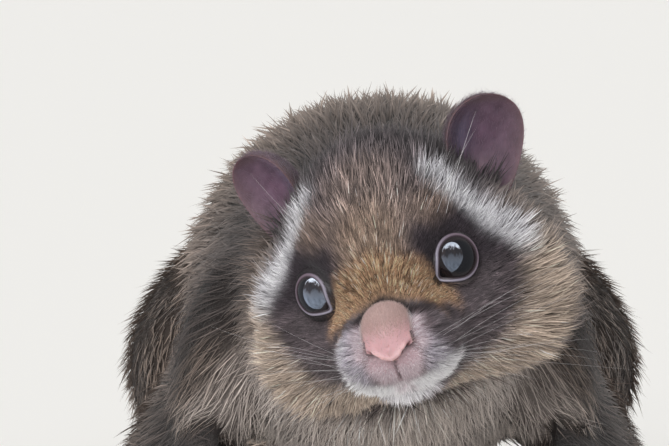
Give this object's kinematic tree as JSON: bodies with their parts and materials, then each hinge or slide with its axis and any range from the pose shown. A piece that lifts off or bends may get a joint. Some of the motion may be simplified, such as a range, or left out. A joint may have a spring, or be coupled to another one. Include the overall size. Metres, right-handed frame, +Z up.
{
  "type": "giant flying squirrel",
  "caption": "Life-size still model of a giant flying squirrel crouching on all fours, head tilted, gliding membrane folded along its flanks, long bushy tail behind.",
  "frame": {"origin": "middle of the footprint on the floor", "axes": "+Z up, the face looks towards -Y, the animal's left side is +X"},
  "size_m": [0.157, 0.7118, 0.1384],
  "materials": {
    "grizzled_fur": "dense grizzled dark brown fur with pale tips",
    "face_fur": "short fur, golden brown brow, white cheek bands and chin",
    "bare_nose": "bare moist pink skin",
    "dark_eye": "wet glossy dark brown",
    "ear_skin": "thin mauve skin with fine down",
    "limb_fur": "short dark brown fur",
    "foot_skin": "dark short fur over skin, horn claws",
    "membrane_fur": "short brown fur, pale below",
    "tail_fur": "long bushy grey brown fur"
  },
  "bodies": {
    "root": {"head": "face_fur", "nose": "bare_nose", "eye_left": "dark_eye", "eye_right": "dark_eye", "ear_left": "ear_skin", "ear_right": "ear_skin", "neck": "grizzled_fur", "torso": "grizzled_fur", "upper_arm_left": "limb_fur", "forearm_left": "limb_fur", "forefoot_left": "foot_skin", "thigh_left": "limb_fur", "shank_left": "limb_fur", "hindfoot_left": "foot_skin", "membrane_left": "membrane_fur", "upper_arm_right": "limb_fur", "forearm_right": "limb_fur", "forefoot_right": "foot_skin", "thigh_right": "limb_fur", "shank_right": "limb_fur", "hindfoot_right": "foot_skin", "membrane_right": "membrane_fur", "tail_1": "tail_fur", "tail_2": "tail_fur", "tail_3": "tail_fur"}
  },
  "joints": []
}
